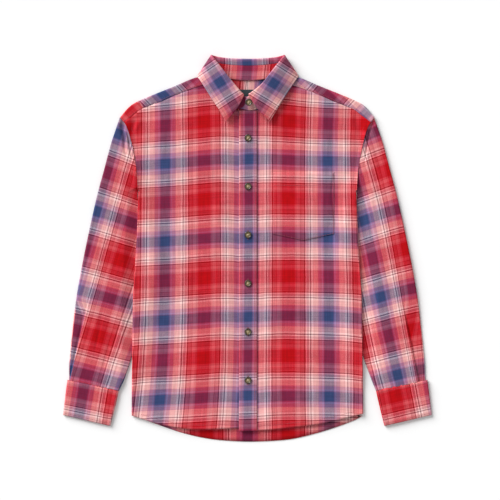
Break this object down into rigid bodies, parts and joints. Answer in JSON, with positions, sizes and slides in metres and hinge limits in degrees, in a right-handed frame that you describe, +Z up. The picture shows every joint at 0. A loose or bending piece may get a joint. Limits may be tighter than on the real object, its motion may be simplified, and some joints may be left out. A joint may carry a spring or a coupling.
{
  "type": "flannel shirt laid flat",
  "caption": "Long-sleeved plaid flannel shirt with a chest pocket, buttoned up and laid out flat, front up.",
  "frame": {"origin": "on the table under the middle of the shirt's outline", "axes": "+X to the wearer's left, +Y from hem to collar, +Z up off the table"},
  "size_m": [0.7372, 0.7725, 0.0214],
  "materials": {
    "flannel": "brushed cotton flannel twill, yarn-dyed plaid of red, pink, mauve, blue and cream",
    "label": "plain woven label, dark teal",
    "button": "horn-look polyester, polished, four holes"
  },
  "bodies": {
    "root": {"back": "flannel", "yoke": "flannel", "front_left": "flannel", "front_right": "flannel", "placket": "flannel", "pocket": "flannel", "sleeve_left": "flannel", "sleeve_right": "flannel", "cuff_left": "flannel", "cuff_right": "flannel", "collar_stand": "flannel", "collar_leaf": "flannel", "label": "label", "button_1": "button", "button_2": "button", "button_3": "button", "button_4": "button", "button_5": "button", "button_6": "button", "button_collar": "button"}
  },
  "joints": []
}
